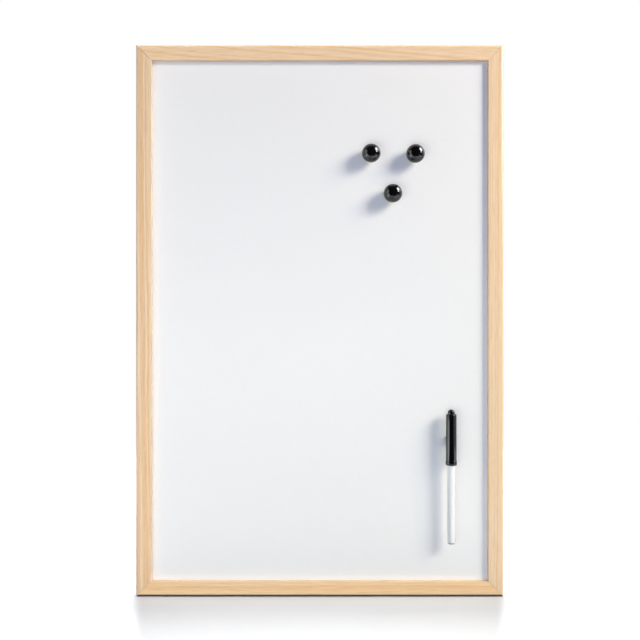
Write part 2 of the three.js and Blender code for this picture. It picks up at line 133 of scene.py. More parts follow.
# %% Colour and node helpers
# A noise texture gives 0 to 1, but nearly all of it lies between these.
NOISE_LOW, NOISE_HIGH = 0.3, 0.7
NOISE_SPAN = {"From Min": NOISE_LOW, "From Max": NOISE_HIGH}


def linear(hex_colour):
    """Linear RGBA of an sRGB hex colour such as "e9c9a5"."""
    channels = [int(hex_colour[i : i + 2], 16) / 255 for i in (0, 2, 4)]
    curve = [c / 12.92 if c <= 0.04045 else ((c + 0.055) / 1.055) ** 2.4 for c in channels]
    return (*curve, 1)


def link(tree, source, socket):
    """Links a socket to an output, or to the first output of a node."""
    output = source.outputs[0] if isinstance(source, bpy.types.Node) else source
    tree.links.new(output, socket)


def add(tree, kind, inputs=None, stops=None, **settings):
    """Adds a node. An input is a value, another node or one of its outputs.

    Inputs go by their names, or by their numbers where names repeat. The stops
    of a colour ramp are hex colours by their place in it.
    """
    made = tree.nodes.new(kind)
    for name, value in settings.items():
        setattr(made, name, value)
    for socket, value in (inputs or {}).items():
        if isinstance(value, (bpy.types.Node, bpy.types.NodeSocket)):
            link(tree, value, made.inputs[socket])
        else:
            made.inputs[socket].default_value = value
    if stops:
        ramp = made.color_ramp.elements
        while len(ramp) < len(stops):
            ramp.new(0.5)
        for element, (place, colour) in zip(ramp, stops.items()):
            element.position = place
            element.color = linear(colour)
    return made


def empty_tree(owner):
    """The node tree of a material or a world, emptied."""
    owner.use_nodes = True
    owner.node_tree.nodes.clear()
    return owner.node_tree


def new_material(name, **own):
    """A material without a pattern. own sets the shader's own sockets, such as IOR=1.5."""
    material = bpy.data.materials.new(name)
    tree = empty_tree(material)
    shader = add(tree, "ShaderNodeBsdfPrincipled", own)
    add(tree, "ShaderNodeOutputMaterial", {"Surface": shader})
    place = add(tree, "ShaderNodeTexCoord").outputs["Object"]
    return material, tree, shader, place


def drive(tree, shader, **sources):
    """Links the shader's sockets, such as Base_Color=tone."""
    for socket, source in sources.items():
        link(tree, source, shader.inputs[socket.replace("_", " ")])


def dress(piece, material):
    """Gives a piece one material."""
    piece.data.materials.clear()
    piece.data.materials.append(material)


def along_axis(axis, along, across):
    """Three numbers for X, Y and Z: one for the named axis and another for the rest."""
    return [along if letter == axis else across for letter in "XYZ"]


print("mid grey 808080 in linear light:", round(linear("808080")[0], 3))

# %% [markdown]
# Pine
#
# The frame is clear-lacquered pine. A tree lays down a ring a year: a wide pale
# band in spring and a narrow, redder one in summer. The moulding is sawn along
# the trunk, so on its face the rings run as long lines. They are drawn here as
# real rings. The distance from the pith, a line that lies beside the member and
# leans a little, is bent by slow noise and divided by the ring width. That way
# the lines run on round the arrises and into the recess.

# %% Rings counted from the pith
# The rings wander by up to this, over this length and width.
RING_DRIFT = 3.4 * MM
DRIFT_LENGTH, DRIFT_WIDTH = 230 * MM, 18 * MM
# Rings differ in width, because noise of this rate per ring adds up to so many years.
UNEVEN_RATE, UNEVEN_YEARS = 0.7, 1.6


def count_years(tree, place, slow, pith, run, ring_width):
    """The year of each point, from its distance to the pith."""
    drift = add(tree, "ShaderNodeTexNoise", {"Vector": slow, "Scale": 1, "Detail": 2})
    # Centred, the noise reaches 0.5 to either side.
    centred = add(
        tree,
        "ShaderNodeVectorMath",
        {0: drift.outputs["Color"], 1: (0.5, 0.5, 0.5)},
        operation="SUBTRACT",
    )
    bend = add(
        tree, "ShaderNodeVectorMath", {0: centred, "Scale": RING_DRIFT * 2}, operation="SCALE"
    )
    from_pith = add(tree, "ShaderNodeVectorMath", {0: place, 1: pith}, operation="SUBTRACT")
    bent = add(tree, "ShaderNodeVectorMath", {0: from_pith, 1: bend}, operation="ADD")
    off_run = add(tree, "ShaderNodeVectorMath", {0: bent, 1: run}, operation="CROSS_PRODUCT")
    radius = add(tree, "ShaderNodeVectorMath", {0: off_run}, operation="LENGTH")
    rings = add(
        tree, "ShaderNodeMath", {0: radius.outputs["Value"], 1: ring_width}, operation="DIVIDE"
    )
    uneven = add(
        tree,
        "ShaderNodeTexNoise",
        {"W": rings, "Scale": UNEVEN_RATE, "Detail": 1},
        noise_dimensions="1D",
    )
    return add(
        tree, "ShaderNodeMath", {0: uneven, 1: UNEVEN_YEARS, 2: rings}, operation="MULTIPLY_ADD"
    )


print("rings wander, mm:", mm(RING_DRIFT))

# %% [markdown]
# A dry year leaves a faint ring, and each ring fades and returns along the
# member. Both say how far a ring sinks into the even tone of the wood.

# %% Faint rings
FADE_LENGTH, FADE_WIDTH = 110 * MM, 5 * MM
# Steps through the noise from one seed to the next
FADE_STEP = (1.7, 1, 3.1)
GROWTH_SHARE = 0.4
WEAK_RING, STRONG_RING = 0.5, 1.05


def ring_paleness(tree, place, axis, years, faint, seed):
    """0 for a strong ring, and up to faint for a weak one."""
    number = add(tree, "ShaderNodeMath", {0: years}, operation="FLOOR")
    growth = add(tree, "ShaderNodeTexWhiteNoise", {"W": number}, noise_dimensions="1D")
    fade_place = add(
        tree,
        "ShaderNodeMapping",
        {
            "Vector": place,
            "Location": [seed * step for step in FADE_STEP],
            "Scale": along_axis(axis, 1 / FADE_LENGTH, 1 / FADE_WIDTH),
        },
    )
    fade = add(tree, "ShaderNodeTexNoise", {"Vector": fade_place, "Scale": 1, "Detail": 1})
    strength = add(
        tree,
        "ShaderNodeMath",
        {0: growth.outputs["Value"], 1: GROWTH_SHARE, 2: fade},
        operation="MULTIPLY_ADD",
    )
    return add(
        tree,
        "ShaderNodeMapRange",
        {
            "Value": strength,
            "From Min": WEAK_RING,
            "From Max": STRONG_RING,
            "To Min": faint,
            "To Max": 0.0,
        },
    )


print("rings fade over, mm:", mm(FADE_LENGTH))

# %% [markdown]
# The year runs through a ramp of the wood's tones. Warmer stretches lie over it,
# and fine fibres give flecks, a sheen and a relief. Fibres are finer than a
# pixel, so they are drawn 1.2 mm wide.

# %% Pine finish
PINE_EARLY = "f0d8ba"
PINE_LATE = "e9b682"
PINE_WARM = "facc96"
DRIFT_STEP = (1, 2.3, 0.7)
# The warm tone varies more slowly than the drift, down to a share of its most.
WARM_RATE, WARM_LOW, WARM_SHARE = 0.6, 0.35, 0.4
FIBRE_LENGTH, FIBRE_WIDTH = 26 * MM, 1.2 * MM


def lacquered_pine(name, even_tone, axis, pith, run, ring_width, warmth, faint, seed):
    """Planed, clear-lacquered pine: satin, pale between the lines and redder in them.

    even_tone is the wood where no line shows, and axis the member's long axis.
    pith is a point of the pith's line and run its direction. warmth is the most
    of the warm tone, and faint how far a weak ring sinks into the even tone.
    Each seed takes another part of the noise.
    """
    material, tree, shader, place = new_material(name, IOR=1.5)
    slow = add(
        tree,
        "ShaderNodeMapping",
        {
            "Vector": place,
            "Location": [seed * step for step in DRIFT_STEP],
            "Scale": along_axis(axis, 1 / DRIFT_LENGTH, 1 / DRIFT_WIDTH),
        },
    )
    years = count_years(tree, place, slow, pith, run, ring_width)
    year = add(tree, "ShaderNodeMath", {0: years}, operation="FRACT")
    season = add(
        tree,
        "ShaderNodeValToRGB",
        {0: year},
        stops={
            0.0: even_tone,
            0.2: PINE_EARLY,
            0.48: PINE_EARLY,
            0.66: even_tone,
            0.84: PINE_LATE,
            1.0: even_tone,
        },
    )
    paleness = ring_paleness(tree, place, axis, years, faint, seed)
    ringed = add(
        tree,
        "ShaderNodeMix",
        {"Factor": paleness, "A": season, "B": linear(even_tone)},
        data_type="RGBA",
    )
    wide = add(
        tree,
        "ShaderNodeTexNoise",
        {"Vector": slow, "Scale": WARM_RATE, "Detail": 1, "Roughness": 0.4},
    )
    warm = add(
        tree,
        "ShaderNodeMapRange",
        {
            "Value": wide,
            "From Min": WARM_LOW,
            "From Max": NOISE_HIGH,
            "To Min": warmth * WARM_SHARE,
            "To Max": warmth,
        },
    )
    toned = add(
        tree,
        "ShaderNodeMix",
        {"Factor": warm, "A": ringed.outputs["Result"], "B": linear(PINE_WARM)},
        data_type="RGBA",
    )
    fibre_place = add(
        tree,
        "ShaderNodeMapping",
        {"Vector": place, "Scale": along_axis(axis, 1 / FIBRE_LENGTH, 1 / FIBRE_WIDTH)},
    )
    fibre = add(
        tree,
        "ShaderNodeTexNoise",
        {"Vector": fibre_place, "Scale": 1, "Detail": 2, "Roughness": 0.6},
    )
    fleck = add(
        tree, "ShaderNodeMapRange", {"Value": fibre, **NOISE_SPAN, "To Min": 0.97, "To Max": 1.03}
    )
    wood = add(
        tree,
        "ShaderNodeMix",
        {"Factor": 1.0, "A": toned.outputs["Result"], "B": fleck},
        data_type="RGBA",
        blend_type="MULTIPLY",
    )
    gloss = add(
        tree, "ShaderNodeMapRange", {"Value": fibre, **NOISE_SPAN, "To Min": 0.24, "To Max": 0.34}
    )
    relief = add(tree, "ShaderNodeBump", {"Strength": 0.25, "Distance": 0.04 * MM, "Height": fibre})
    drive(tree, shader, Base_Color=wood.outputs["Result"], Roughness=gloss, Normal=relief)
    return material


# %% [markdown]
# Each member is cut from another place in the tree
#
# Where the pith lies deep behind a member the lines stand far apart, and where
# it lies to the side they stand close. The four mouldings show different lines,
# as four lengths of timber do.

# %% Pine on the four members
members = {
    "rail_top": dict(
        even_tone="ebcdaa", axis="X", pith=(0, 26 * MM, 60 * MM), run=(1, 0, -0.1),
        ring_width=5.2 * MM, warmth=0.25, faint=0.85, seed=1.0,
    ),
    "rail_bottom": dict(
        even_tone="ffdfb3", axis="X", pith=(0, 24 * MM, -516 * MM), run=(1, 0, 0.002),
        ring_width=11 * MM, warmth=0.8, faint=0.3, seed=5.0,
    ),
    "stile_left": dict(
        even_tone="dfc09c", axis="Z", pith=(-236 * MM, 22 * MM, 0), run=(-0.012, 0, 1),
        ring_width=5.6 * MM, warmth=0.35, faint=0.5, seed=9.0,
    ),
    "stile_right": dict(
        even_tone="ebcfac", axis="Z", pith=(262 * MM, 30 * MM, 0), run=(0.006, 0, 1),
        ring_width=3.2 * MM, warmth=0.25, faint=0.55, seed=14.0,
    ),
}
for name, timber in members.items():
    dress(nodes[name], lacquered_pine(f"lacquered_pine_{name}", **timber))
    print(name, "rings, mm:", mm(timber["ring_width"]))

# %% [markdown]
# The foot of the frame
#
# In the photograph the lowest millimetre of the frame is nearly black. There
# the arris turns under towards the table, into the shade where the foot meets
# it. A factor over the height above the table paints that shade into the
# pine's colour, and is 1 from 3.5 mm up.

# %% Painted shade at the foot
FOOT_SHADE_LEVEL = 0.05
FOOT_SHADE_FULL = 2.1 * MM
FOOT_SHADE_END = 3.5 * MM

tree = nodes["rail_bottom"].data.materials[0].node_tree
shader = tree.nodes["Principled BSDF"]
unshaded_wood = shader.inputs["Base Color"].links[0].from_socket
place = add(tree, "ShaderNodeTexCoord").outputs["Object"]
split = add(tree, "ShaderNodeSeparateXYZ", {"Vector": place})
# Painted shade: the pine darkens towards the table, in the shade where the foot meets it.
painted_foot_shade = add(
    tree,
    "ShaderNodeMapRange",
    {
        "Value": split.outputs["Z"],
        "From Min": floor_z + FOOT_SHADE_FULL,
        "From Max": floor_z + FOOT_SHADE_END,
        "To Min": FOOT_SHADE_LEVEL,
    },
    interpolation_type="SMOOTHSTEP",
)
foot_with_painted_shade = add(
    tree,
    "ShaderNodeMix",
    {"Factor": 1.0, "A": unshaded_wood, "B": painted_foot_shade},
    data_type="RGBA",
    blend_type="MULTIPLY",
)
drive(tree, shader, Base_Color=foot_with_painted_shade.outputs["Result"])
print("grime up to, mm:", mm(FOOT_SHADE_END))

# %% [markdown]
# Smooth arrises
#
# The construction comes in as loose triangles, with its rounded arrises as
# narrow flats. A small node group welds the triangles, shades the piece smooth
# and keeps every edge sharp that turns by more than 35 degrees. The modifier
# after it keeps the wide flats flat, because it lets a large face count for
# more than the narrow ones beside it. The meshes themselves stay untouched.

# %% Shading of the construction
SHARP_ANGLE = math.radians(35)
WELD_DISTANCE = 0.005 * MM


def weld_and_smooth():
    """Node group: welds loose triangles and smooths all but the sharp edges."""
    group = bpy.data.node_groups.new("weld_and_smooth", "GeometryNodeTree")
    for in_out in ("INPUT", "OUTPUT"):
        group.interface.new_socket("Geometry", in_out=in_out, socket_type="NodeSocketGeometry")
    loose = add(group, "NodeGroupInput")
    welded = add(
        group, "GeometryNodeMergeByDistance", {"Geometry": loose, "Distance": WELD_DISTANCE}
    )
    rounded = add(group, "GeometryNodeSetShadeSmooth", {"Geometry": welded, "Shade Smooth": True})
    turn = add(group, "GeometryNodeInputMeshEdgeAngle").outputs["Unsigned Angle"]
    sharp = add(
        group, "FunctionNodeCompare", {"A": turn, "B": SHARP_ANGLE}, operation="GREATER_THAN"
    )
    kept = add(
        group,
        "GeometryNodeSetShadeSmooth",
        {"Geometry": rounded, "Selection": sharp, "Shade Smooth": False},
        domain="EDGE",
    )
    add(group, "NodeGroupOutput", {0: kept})
    return group


welding = weld_and_smooth()
for piece in nodes.values():
    piece.modifiers.new("weld_and_smooth", "NODES").node_group = welding
    flats = piece.modifiers.new("flats", "WEIGHTED_NORMAL")
    flats.mode = "FACE_AREA_WITH_ANGLE"
    flats.keep_sharp = True
print("pieces shaded smooth:", len(nodes))

# %% [markdown]
# Glue in the mitres
#
# Each corner is glued, and the glue fills the joint just under the surface. It
# dries to a clear amber, so that the mitre shows as a thin line that is hardly
# darker than the wood. Each film is the outline of the moulding, laid along the
# corner's diagonal and as thick as the joint.

# %% Glue films
GLUE_SETBACK = 0.12 * MM
GLUE_THICKNESS = 0.26 * MM
GLUE_MOTTLE = 4 * MM
RABBET_WIDTH = 6.5 * MM
ARRIS_RADIUS = 3 * MM
ARRIS_STEPS = 6
member_width = size_and_middle("stile_left")[0].x
member_back = rail_high.y


def glue_outline():
    """The moulding's section, a little inside it: (distance from the outer edge, depth)."""
    inset = GLUE_SETBACK
    front, back = face_y + inset, member_back - inset
    outer, inner = inset, member_width - inset
    radius = ARRIS_RADIUS - inset
    angles = [math.radians(90) * i / ARRIS_STEPS for i in range(ARRIS_STEPS + 1)]
    arris = [
        (outer + radius * (1 - math.sin(a)), front + radius * (1 - math.cos(a)))
        for a in angles
    ]
    rabbet = member_width - RABBET_WIDTH - inset
    return [
        *arris,
        (outer, back),
        (rabbet, back),
        (rabbet, sheet_y),
        (inner, sheet_y),
        (inner, front),
    ]


glue_material, tree, shader, place = new_material("dried_wood_glue", IOR=1.46)
mottle = add(tree, "ShaderNodeTexNoise", {"Vector": place, "Scale": 1 / GLUE_MOTTLE, "Detail": 2})
tone = add(
    tree, "ShaderNodeValToRGB", {0: mottle}, stops={NOISE_LOW: "e6c39a", NOISE_HIGH: "f0d4b0"}
)
gloss = add(
    tree, "ShaderNodeMapRange", {"Value": mottle, **NOISE_SPAN, "To Min": 0.3, "To Max": 0.5}
)
relief = add(tree, "ShaderNodeBump", {"Strength": 0.2, "Distance": 0.05 * MM, "Height": mottle})
drive(tree, shader, Base_Color=tone, Roughness=gloss, Normal=relief)

for upright, edge_z, inward_z in (("top", top_high.z, -1), ("bottom", floor_z, 1)):
    for side, edge_x, inward_x in (("left", rail_low.x, 1), ("right", rail_high.x, -1)):
        shape = bmesh.new()
        across = Vector((inward_x, 0, -inward_z)).normalized() * GLUE_THICKNESS / 2
        faces = []
        for offset in (-across, across):
            points = [
                Vector((edge_x + inward_x * u, y, edge_z + inward_z * u)) + offset
                for u, y in glue_outline()
            ]
            faces.append([shape.verts.new(point) for point in points])
        shape.faces.new(faces[0])
        shape.faces.new(reversed(faces[1]))
        for i in range(len(faces[0])):
            j = (i + 1) % len(faces[0])
            shape.faces.new((faces[0][j], faces[0][i], faces[1][i], faces[1][j]))
        bmesh.ops.recalc_face_normals(shape, faces=shape.faces)
        mesh = bpy.data.meshes.new(f"mitre_glue_{upright}_{side}")
        shape.to_mesh(mesh)
        shape.free()
        film = into_scene(mesh.name, mesh)
        dress(film, glue_material)
        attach(film, "board")
        print(film.name, "thickness, mm:", mm(GLUE_THICKNESS))

# %% [markdown]
# White enamelled steel
#
# The writing sheet is coil-coated: a stoving enamel is rolled on and baked. It
# levels to a smooth skin with a faint ripple, a few millimetres from crest to
# crest, which only shows where a lamp is mirrored in it. The colour is almost
# white.

# %% Enamel
ENAMEL_RIPPLE = 3 * MM


def stove_enamel():
    """Rolled and baked white enamel: even, glossy, hardly any pattern."""
    material, tree, shader, place = new_material("stove_enamel", IOR=1.5)
    ripple = add(
        tree,
        "ShaderNodeTexNoise",
        {"Vector": place, "Scale": 1 / ENAMEL_RIPPLE, "Detail": 2, "Roughness": 0.4},
    )
    tone = add(
        tree, "ShaderNodeValToRGB", {0: ripple}, stops={NOISE_LOW: "f0efee", NOISE_HIGH: "f1f0ef"}
    )
    gloss = add(
        tree, "ShaderNodeMapRange", {"Value": ripple, **NOISE_SPAN, "To Min": 0.28, "To Max": 0.286}
    )
    relief = add(
        tree, "ShaderNodeBump", {"Strength": 0.15, "Distance": 0.03 * MM, "Height": ripple}
    )
    drive(tree, shader, Base_Color=tone, Roughness=gloss, Normal=relief)
    return material


dress(nodes["steel_sheet"], stove_enamel())
print("enamel: ripple, mm:", mm(ENAMEL_RIPPLE))

# %% [markdown]
# Hardboard
#
# The back is a sheet of hardboard: wood fibre pressed hot on a wire screen. Its
# rough side keeps the screen's print, a fine square dimple every 1.2 mm or so,
# and loose darker fibres lie in it. Single fibres are too fine to show, so they
# are drawn as bundles 2.5 mm long. Two sines, one across and one up, make the
# dimples.

# %% Hardboard
SCREEN_PITCH = 1.2 * MM
FIBRE_BUNDLE = 2.5 * MM
PULP_CLOUD = 60 * MM
# Shares of the clouds and the screen in the tone, and of the screen in the relief
CLOUD_IN_TONE = 0.35
SCREEN_IN_TONE = 0.05
SCREEN_IN_RELIEF = 0.5


def screen_backed_hardboard():
    """Wet-felted hardboard, screen side: brown, matt, dimpled."""
    material, tree, shader, place = new_material("screen_backed_hardboard", IOR=1.45)
    split = add(tree, "ShaderNodeSeparateXYZ", {"Vector": place})
    waves = []
    for letter in "XZ":
        turns = add(
            tree,
            "ShaderNodeMath",
            {0: split.outputs[letter], 1: 2 * math.pi / SCREEN_PITCH},
            operation="MULTIPLY",
        )
        waves.append(add(tree, "ShaderNodeMath", {0: turns}, operation="SINE"))
    screen = add(tree, "ShaderNodeMath", {0: waves[0], 1: waves[1]}, operation="MULTIPLY")
    fibre = add(
        tree,
        "ShaderNodeTexNoise",
        {
            "Vector": place,
            "Scale": 1 / FIBRE_BUNDLE,
            "Detail": 5,
            "Roughness": 0.7,
            "Distortion": 1.2,
        },
    )
    cloud = add(tree, "ShaderNodeTexNoise", {"Vector": place, "Scale": 1 / PULP_CLOUD, "Detail": 2})
    mixed = add(
        tree, "ShaderNodeMath", {0: cloud, 1: CLOUD_IN_TONE, 2: fibre}, operation="MULTIPLY_ADD"
    )
    level = add(
        tree, "ShaderNodeMath", {0: screen, 1: SCREEN_IN_TONE, 2: mixed}, operation="MULTIPLY_ADD"
    )
    tone = add(
        tree,
        "ShaderNodeValToRGB",
        {0: level},
        stops={0.42: "5d4026", 0.6: "7c5936", 0.74: "8d6a45", 0.9: "a3845c"},
    )
    rough = add(
        tree, "ShaderNodeMapRange", {"Value": fibre, **NOISE_SPAN, "To Min": 0.65, "To Max": 0.85}
    )
    height = add(
        tree, "ShaderNodeMath", {0: screen, 1: SCREEN_IN_RELIEF, 2: fibre}, operation="MULTIPLY_ADD"
    )
    relief = add(tree, "ShaderNodeBump", {"Strength": 0.6, "Distance": 0.15 * MM, "Height": height})
    drive(tree, shader, Base_Color=tone, Roughness=rough, Normal=relief)
    return material


dress(nodes["backing_board"], screen_backed_hardboard())
print("hardboard: dimples, mm:", mm(SCREEN_PITCH))

# %% [markdown]
# Fasteners
#
# The pointed tabs and the V-nails are stamped from zinc-plated strip, bluish
# and satin. The sawtooth hangers and their nails are brass-plated steel. Both
# show the fine lines of the rolled strip and a cloudy tone from the plating
# bath. The lines are too fine to show, so they are drawn 0.6 mm wide. The disc
# magnets are nickel-plated and a little smoother.

# %% Plated steel
PLATING_CLOUD = 3 * MM
LINE_LENGTH, LINE_WIDTH = 20 * MM, 0.6 * MM


def plated_steel(name, dark, light, roughness):
    """Plated strip: cloudy colour, fine rolling lines along X, satin shine."""
    material, tree, shader, place = new_material(name, Metallic=1.0)
    cloud = add(
        tree,
        "ShaderNodeTexNoise",
        {"Vector": place, "Scale": 1 / PLATING_CLOUD, "Detail": 3, "Roughness": 0.6},
    )
    tone = add(tree, "ShaderNodeValToRGB", {0: cloud}, stops={NOISE_LOW: dark, NOISE_HIGH: light})
    stretched = add(
        tree,
        "ShaderNodeMapping",
        {"Vector": place, "Scale": along_axis("X", 1 / LINE_LENGTH, 1 / LINE_WIDTH)},
    )
    lines = add(
        tree, "ShaderNodeTexNoise", {"Vector": stretched, "Scale": 1, "Detail": 3, "Roughness": 0.6}
    )
    gloss = add(
        tree,
        "ShaderNodeMapRange",
        {"Value": lines, **NOISE_SPAN, "To Min": roughness * 0.75, "To Max": roughness * 1.25},
    )
    relief = add(tree, "ShaderNodeBump", {"Strength": 0.2, "Distance": 0.02 * MM, "Height": lines})
    drive(tree, shader, Base_Color=tone, Roughness=gloss, Normal=relief)
    return material


zinc = plated_steel("zinc_plated_steel", "a6abb1", "c3c7ca", 0.36)
brass = plated_steel("brass_plated_steel", "b38d45", "d2b36c", 0.27)
nickel = plated_steel("nickel_plated_magnet", "c2bcb0", "d8d3ca", 0.2)
zinc_pieces = [name for name in nodes if "_tab_" in name or name.startswith("v_nail")]
brass_pieces = [name for name in nodes if name.startswith("hanger")]
for names, plating in ((zinc_pieces, zinc), (brass_pieces, brass)):
    for name in names:
        dress(nodes[name], plating)
print("tabs and V-nails:", len(zinc_pieces), "hangers and their nails:", len(brass_pieces))

# %% [markdown]
# Turning
#
# The magnets and the marker are all turned shapes. A profile of radius and
# height is swung round an axis in 96 steps. Points with radius 0 close the
# shape on the axis. A hollow piece has a profile that ends where it starts.

# %% Turned pieces
SIDES = 96
ON_AXIS = 0.0001 * MM
UP = Matrix.Identity(4)
FRONT = Matrix.Rotation(math.radians(90), 4, "X")
BACK = Matrix.Rotation(math.radians(-90), 4, "X")


def arc(middle_radius, middle_height, radius, start, end, steps=8, height_share=1.0):
    """Points of an arc in a profile.

    Angles are in degrees, from straight outwards to straight up. height_share
    makes the arc flatter or taller than a circle's.
    """
    angles = [math.radians(start + (end - start) * i / steps) for i in range(steps + 1)]
    return [
        (middle_radius + radius * math.cos(a), middle_height + radius * height_share * math.sin(a))
        for a in angles
    ]


def turn_into(shape, profile, hollow=False):
    """Adds a turned shape about Z to a bmesh and returns its rings."""
    angles = [2 * math.pi * i / SIDES for i in range(SIDES)]
    rings = []
    for radius, height in profile:
        if radius < ON_AXIS:
            rings.append([shape.verts.new((0, 0, height))] * SIDES)
        else:
            ring = [(radius * math.cos(a), radius * math.sin(a), height) for a in angles]
            rings.append([shape.verts.new(point) for point in ring])
    pairs = list(zip(rings, rings[1:])) + ([(rings[-1], rings[0])] if hollow else [])
    for lower, upper in pairs:
        for i in range(SIDES):
            j = (i + 1) % SIDES
            corners = list(dict.fromkeys((lower[i], lower[j], upper[j], upper[i])))
            if len(corners) > 2:
                shape.faces.new(corners)
    return rings


def place_turned(name, shape, centre, axis, material, body, node):
    """Finishes a bmesh as a piece that stands for a node and rides on its body."""
    shape.transform(Matrix.Translation(centre) @ axis)
    bmesh.ops.recalc_face_normals(shape, faces=shape.faces)
    mesh = bpy.data.meshes.new(name)
    shape.to_mesh(mesh)
    shape.free()
    piece = into_scene(name, mesh)
    mesh.shade_smooth()
    mesh.set_sharp_from_angle(angle=SHARP_ANGLE)
    dress(piece, material)
    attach(piece, body)
    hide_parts(node)


print("sides of a turned piece:", SIDES)

# %% [markdown]
# Black plastic
#
# The balls and the cap are moulded in polished steel tools from black
# acrylic. The skin is nearly as smooth as glass, so that it is the room
# that is seen in it, and only light handling marks dull it here and there.

# %% Polished acrylic
ACRYLIC_CLOUD = 8 * MM
HANDLING_MARK = 1.6 * MM
MARKS_LOW, MARKS_HIGH = 0.35, 0.75


def polished_acrylic():
    """Injection-moulded black acrylic: a black mirror with faint handling marks."""
    material, tree, shader, place = new_material("polished_acrylic", IOR=1.49)
    cloud = add(
        tree,
        "ShaderNodeTexNoise",
        {"Vector": place, "Scale": 1 / ACRYLIC_CLOUD, "Detail": 3, "Roughness": 0.6},
    )
    tone = add(
        tree, "ShaderNodeValToRGB", {0: cloud}, stops={NOISE_LOW: "050506", NOISE_HIGH: "0a0a0c"}
    )
    marks = add(
        tree,
        "ShaderNodeTexNoise",
        {"Vector": place, "Scale": 1 / HANDLING_MARK, "Detail": 4, "Roughness": 0.7},
    )
    gloss = add(
        tree,
        "ShaderNodeMapRange",
        {
            "Value": marks,
            "From Min": MARKS_LOW,
            "From Max": MARKS_HIGH,
            "To Min": 0.05,
            "To Max": 0.12,
        },
    )
    relief = add(tree, "ShaderNodeBump", {"Strength": 0.1, "Distance": 0.004 * MM, "Height": cloud})
    drive(tree, shader, Base_Color=tone, Roughness=gloss, Normal=relief)
    return material


black = polished_acrylic()
print("acrylic: handling marks, mm:", mm(HANDLING_MARK))

# %% [markdown]
# Ball magnets
#
# Each is a 20 mm ball on a short foot. A disc magnet is pressed into the foot,
# 0.2 mm below its rim, so that it doesn't scratch the sheet.

# %% Balls and their discs
FOOT_RADIUS = 5.3 * MM
FOOT_CHAMFER = 0.4 * MM
SEAT_CLEARANCE = 0.3 * MM
DISC_RECESS = 0.2 * MM
DISC_CHAMFER = 0.3 * MM
BALL_STEPS = 48


def pocket(disc_size):
    """Radius and depth of the pocket that a disc magnet sits in."""
    return disc_size.x / 2 + SEAT_CLEARANCE, disc_size.y + DISC_RECESS + SEAT_CLEARANCE


def place_disc(name, body, node):
    """A disc magnet with broken edges, turned where its node lies."""
    size, middle = size_and_middle(node)
    radius, thickness = size.x / 2, size.y
    edge = radius - DISC_CHAMFER
    profile = [
        (0, 0),
        (edge, 0),
        (radius, DISC_CHAMFER),
        (radius, thickness - DISC_CHAMFER),
        (edge, thickness),
        (0, thickness),
    ]
    shape = bmesh.new()
    turn_into(shape, profile)
    base = middle + Vector((0, thickness / 2, 0))
    place_turned(name, shape, base, FRONT, nickel, body, node)


for number in (1, 2, 3):
    body, node = f"magnet_{number}", f"magnet_{number}_ball"
    size, middle = size_and_middle(node)
    ball_radius = size.x / 2
    base = middle + Vector((0, size.y / 2, 0))
    centre_height = size.y - ball_radius
    pocket_radius, pocket_depth = pocket(size_and_middle(f"magnet_{number}_disc")[0])
    meets_foot = -math.degrees(math.acos(FOOT_RADIUS / ball_radius))
    shape = bmesh.new()
    profile = [
        (0, pocket_depth),
        (pocket_radius, pocket_depth),
        (pocket_radius, 0),
        (FOOT_RADIUS - FOOT_CHAMFER, 0),
        (FOOT_RADIUS, FOOT_CHAMFER),
        *arc(0, centre_height, ball_radius, meets_foot, 90, BALL_STEPS)[:-1],
        (0, size.y),
    ]
    turn_into(shape, profile)
    place_turned(f"ball_{number}", shape, base, FRONT, black, body, node)
    place_disc(f"ball_disc_{number}", body, f"magnet_{number}_disc")
    print("ball", number, "mm:", mm(2 * ball_radius), "at", [mm(v) for v in middle])

# %% [markdown]
# The cap
#
# The cap is a moulded shell with a bead round its mouth and a domed nub on its
# crown. On its back a round boss carries a disc magnet and stands the marker off
# the sheet. The boss is a tube of its own whose near end is curved to run into
# the shell's wall.

# %% Cap
NUB_RADIUS = 3.8 * MM
NUB_HEIGHT = 4.8 * MM
NUB_COLLAR = 1.6 * MM
SHOULDER_RADIUS = 1.4 * MM
CAP_RADIUS = 5.75 * MM
CAP_DRAFT = 0.1 * MM
BEAD_LENGTH = 4.2 * MM
BORE_RADIUS = 3.85 * MM
BORE_CONE = 1.9 * MM
CROWN_THICKNESS = 3 * MM
BOSS_RADIUS = 4.3 * MM
BOSS_CHAMFER = 0.4 * MM
BEAD_STEPS = 16
DOME_STEPS = 16

cap_size, cap_middle = size_and_middle("marker_cap")
cap_low, cap_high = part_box("marker_cap")
magnet_size, magnet_middle = size_and_middle("marker_cap_magnet")
bead_radius = cap_size.x / 2
cap_base = Vector((cap_middle.x, cap_low.y + bead_radius, cap_middle.z - cap_size.z / 2))
shoulder = cap_size.z - NUB_HEIGHT
top_radius = CAP_RADIUS - CAP_DRAFT
bore_depth = shoulder - CROWN_THICKNESS
dome_share = (NUB_HEIGHT - NUB_COLLAR) / NUB_RADIUS
bead_swell = bead_radius - CAP_RADIUS
bead_share = BEAD_LENGTH / 2 / bead_swell
cap_profile = [
    (0, bore_depth),
    (BORE_RADIUS - BORE_CONE, bore_depth),
    (BORE_RADIUS, bore_depth - BORE_CONE),
    (BORE_RADIUS, 0),
    *arc(CAP_RADIUS, BEAD_LENGTH / 2, bead_swell, -90, 90, BEAD_STEPS, bead_share),
    *arc(top_radius - SHOULDER_RADIUS, shoulder - SHOULDER_RADIUS, SHOULDER_RADIUS, 0, 90),
    (NUB_RADIUS, shoulder),
    *arc(0, shoulder + NUB_COLLAR, NUB_RADIUS, 0, 90, DOME_STEPS, dome_share)[:-1],
    (0, cap_size.z),
]
shape = bmesh.new()
turn_into(shape, cap_profile)

